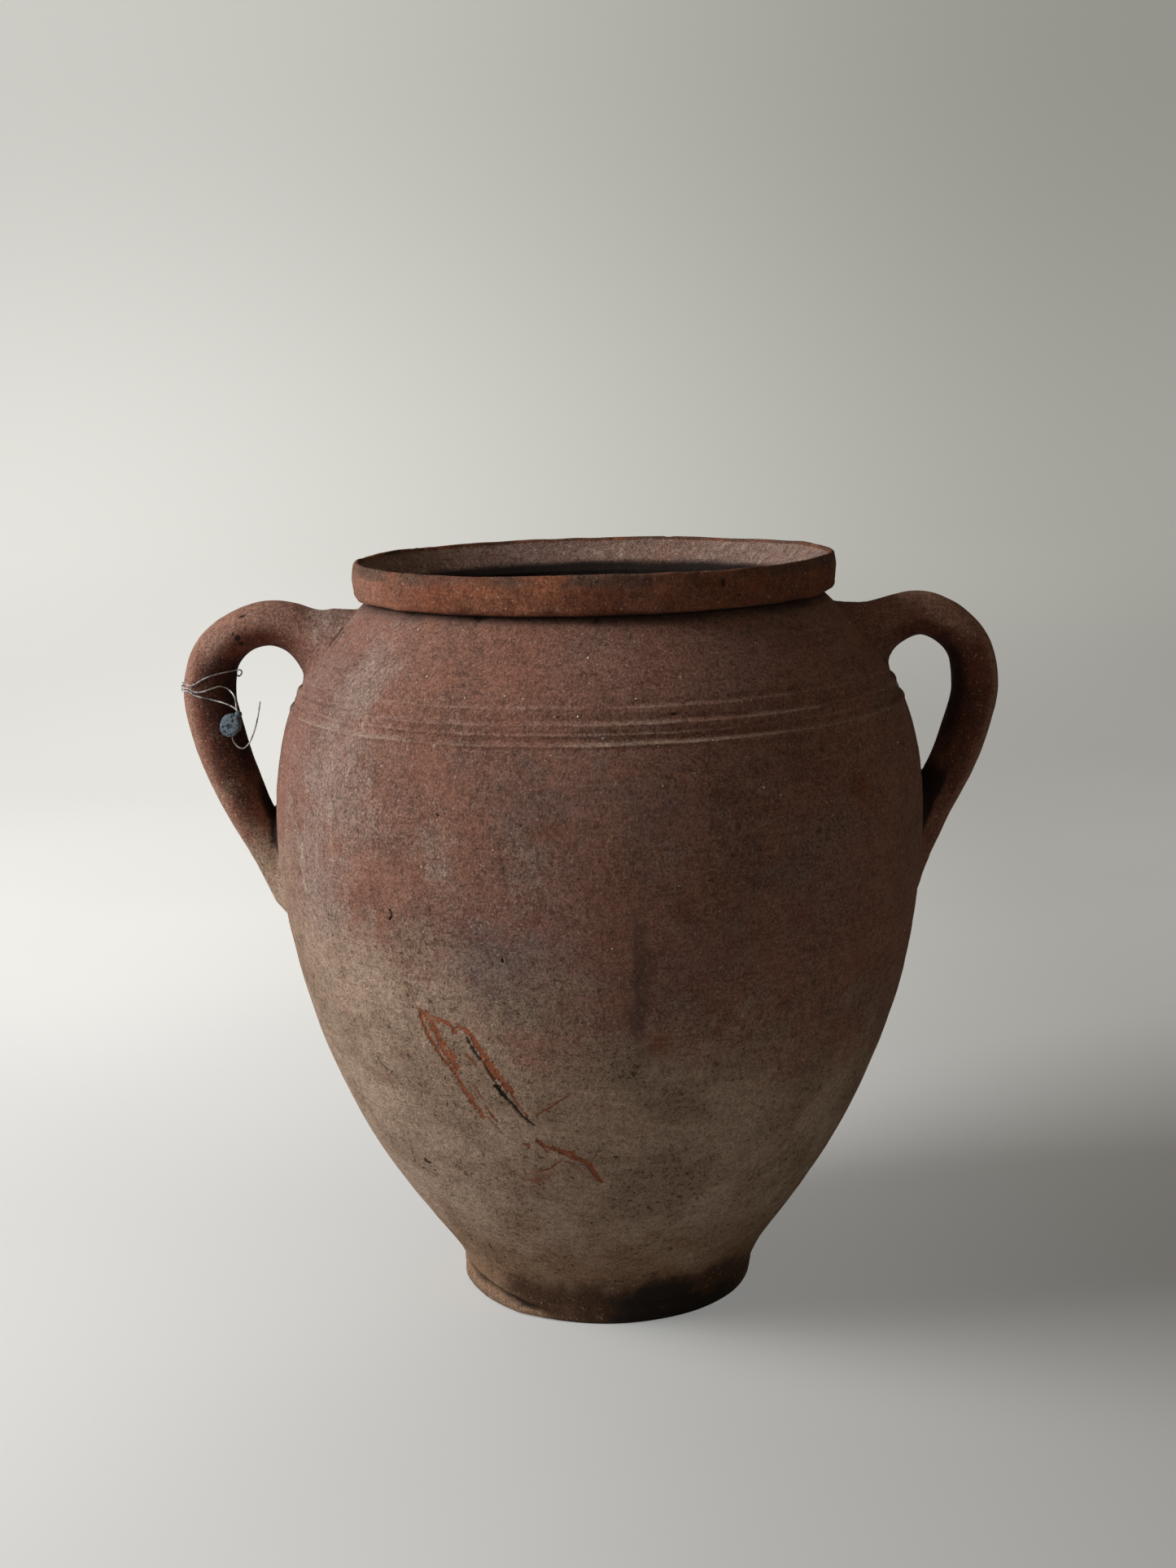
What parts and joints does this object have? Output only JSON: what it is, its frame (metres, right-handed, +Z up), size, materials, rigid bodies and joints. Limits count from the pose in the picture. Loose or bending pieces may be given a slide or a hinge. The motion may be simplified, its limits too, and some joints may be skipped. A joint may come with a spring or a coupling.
{
  "type": "two-handled terracotta storage jar",
  "caption": "Wheel-thrown terracotta storage jar with a flared collar, banded shoulder, two strap handles and a low foot; a wired lead seal hangs on one handle.",
  "frame": {"origin": "centre of the flat underside of the foot, on the ground", "axes": "+Z up along the jar's axis and out of the mouth; +X from the wired handle to the plain one; -Y is the front"},
  "size_m": [0.4269, 0.3366, 0.39],
  "materials": {
    "wall_clay": "matt unglazed fired clay",
    "collar_clay": "matt unglazed fired clay",
    "handle_clay": "matt unglazed fired clay",
    "steel_wire": "dull drawn wire",
    "lead": "dull oxidised lead"
  },
  "bodies": {
    "jar": {"base_disc": "wall_clay", "foot_ring": "wall_clay", "belly_wall": "wall_clay", "shoulder_wall": "wall_clay", "rim_collar": "collar_clay", "left_handle": "handle_clay", "left_upper_root": "handle_clay", "left_lower_root": "handle_clay", "right_handle": "handle_clay", "right_upper_root": "handle_clay", "right_lower_root": "handle_clay"},
    "winding": {"seal_wire_winding": "steel_wire"},
    "seal": {"lead_seal": "lead", "seal_wire_tail": "steel_wire"}
  },
  "joints": [
    {"name": "winding_shift", "type": "hinge", "parent": "jar", "child": "winding", "pos_m": [-0.14753, 0, 0.32183], "axis": [0, 1, 0], "range_deg": [-3.5, 3.5]},
    {"name": "seal_swing", "type": "hinge", "parent": "winding", "child": "seal", "pos_m": [-0.18423, -0.01964, 0.31412], "axis": [-0.9511, 0.309, 0], "range_deg": [0, 60]}
  ]
}
